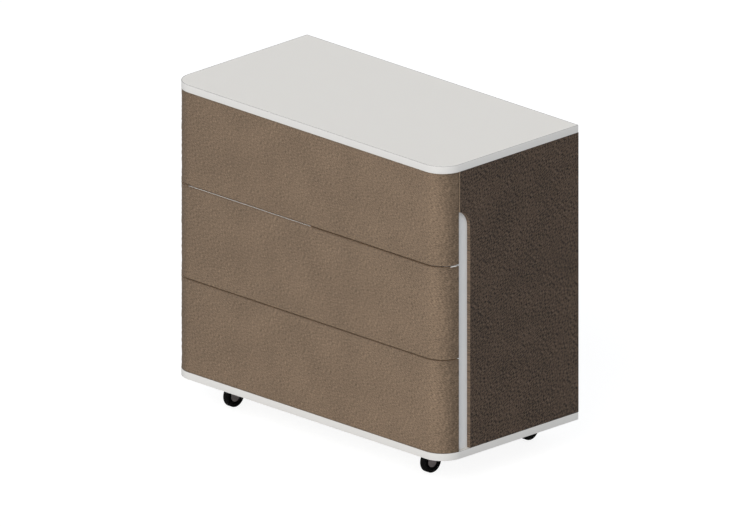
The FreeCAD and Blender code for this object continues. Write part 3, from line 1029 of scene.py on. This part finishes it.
finished(nodes["caster_plates"], caster_paint)
caster_corners = ("front_left", "front_right", "back_left", "back_right")
for corner, (x, y) in zip(caster_corners, caster_places):
    eased_copy("caster_fork_" + corner, "caster_fork_eased_" + corner, fork_ease,
               caster_paint, "swivel_" + corner)
    centre = np.array([x, y + caster_trail, wheel_radius])
    pin, pin_faces = repeated(
        axle_grid, capped_faces(*axle_grid.shape[:2]), [centre], [(1, 0, 0)])
    axle = new_piece("riveted_axle_" + corner, pin, pin_faces, caster_paint, "swivel_" + corner)
    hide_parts("caster_axle_" + corner)
    wheel = new_piece(
        "ribbed_wheel_" + corner, wheel_grid + centre, wheel_faces.tolist(), wheel_black,
        "wheel_" + corner, crisp=30)
    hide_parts("caster_wheel_" + corner)


# Room, lamps and camera
# A plain pale floor, one large soft lamp from the front right, a weak one from behind, and a
# camera without perspective, because parallel edges are parallel in the photograph.

frame_width_px = 750
pixels_per_metre = 480.16
azimuth = math.radians(45)
elevation = math.asin(1 / 3)
aim = Vector((0, 0, 0.356))
camera_distance = 5
floor_half = 8.0
floor_cloud_size = 0.3
floor_glow = 1.26
glow_share = 0.7
sky_strength = 0.372

floor_finish = Finish("pale floor", Roughness=0.9, Specular_IOR_Level=0.0)
floor_cloud = floor_finish.add("TexNoise", None, {
    "Vector": floor_finish.place(floor_cloud_size, on_uv=False)})
floor_finish.paint(
    Base_Color=floor_finish.mix(floor_cloud, (0.80, 0.80, 0.80, 1), (0.82, 0.82, 0.82, 1)))
lit_floor = Reading(floor_finish, floor_finish.shader.outputs[0])
seen = floor_finish.add("LightPath", output="Is Camera Ray")
glow = floor_finish.add("Emission", None, {"Color": (1, 1, 1, 1), "Strength": floor_glow})
for_camera = floor_finish.add("MixShader", None, {0: glow_share, 1: lit_floor, 2: glow})
shown = floor_finish.add("MixShader", None, {0: seen, 1: lit_floor, 2: for_camera})
floor_finish.feed(floor_finish.tree.nodes["Material Output"].inputs["Surface"], shown)
floor_mesh = bpy.data.meshes.new("floor")
floor_mesh.from_pydata(
    [(-floor_half, -floor_half, 0), (floor_half, -floor_half, 0),
     (floor_half, floor_half, 0), (-floor_half, floor_half, 0)], [], [(0, 1, 2, 3)])
floor = bpy.data.objects.new("floor", floor_mesh)
bpy.context.scene.collection.objects.link(floor)
finished(floor, floor_finish)

world = bpy.data.worlds.new("studio")
world.use_nodes = True
bpy.context.scene.world = world
sky = Wiring(world.node_tree)
sky_light = sky.tree.nodes["Background"]
sky.feed(sky_light.inputs["Color"], (0.90, 0.965, 1.04, 1))
sky.feed(sky_light.inputs["Strength"], sky_strength)
soft_light = Reading(sky, sky_light.outputs[0])
white_room = sky.add("Background", None, {"Color": (1, 1, 1, 1), "Strength": 1.0})
seen = sky.add("LightPath", output="Is Camera Ray")
for kind in ("Is Glossy Ray", "Is Transmission Ray"):
    seen = seen.maths("MAXIMUM", seen, sky.add("LightPath", output=kind))
shown = sky.add("MixShader", None, {0: seen, 1: soft_light, 2: white_room})
sky.feed(sky.tree.nodes["World Output"].inputs["Surface"], shown)


def direction(around, above):
    """From the chest towards a point at an azimuth from the front and an elevation."""
    return Vector((math.sin(around) * math.cos(above), -math.cos(around) * math.cos(above),
                   math.sin(above)))


def soft_lamp(name, from_azimuth, from_elevation, irradiance, spread, tint):
    """A lamp at infinity that shines from a wide patch of sky, aimed at the chest."""
    lamp = bpy.data.lights.new(name, "SUN")
    lamp.energy = irradiance
    lamp.angle = math.radians(spread)
    lamp.color = tint
    source = direction(math.radians(from_azimuth), math.radians(from_elevation))
    lamp_object = bpy.data.objects.new(name, lamp)
    lamp_object.rotation_euler = source.to_track_quat("Z", "Y").to_euler()
    bpy.context.scene.collection.objects.link(lamp_object)


soft_lamp("key", 22, 37, irradiance=1.70, spread=40, tint=(1.0, 0.985, 0.96))
soft_lamp("fill", 225, 25, irradiance=0.35, spread=60, tint=(1.0, 1.0, 1.0))

camera_data = bpy.data.cameras.new("camera")
camera_data.type = "ORTHO"
camera_data.ortho_scale = frame_width_px / pixels_per_metre
camera = bpy.data.objects.new("camera", camera_data)
towards_camera = direction(azimuth, elevation)
camera.location = aim + camera_distance * towards_camera
camera.rotation_euler = towards_camera.to_track_quat("Z", "Y").to_euler()
bpy.context.scene.collection.objects.link(camera)
bpy.context.scene.camera = camera
bpy.context.scene.view_settings.view_transform = "Standard"
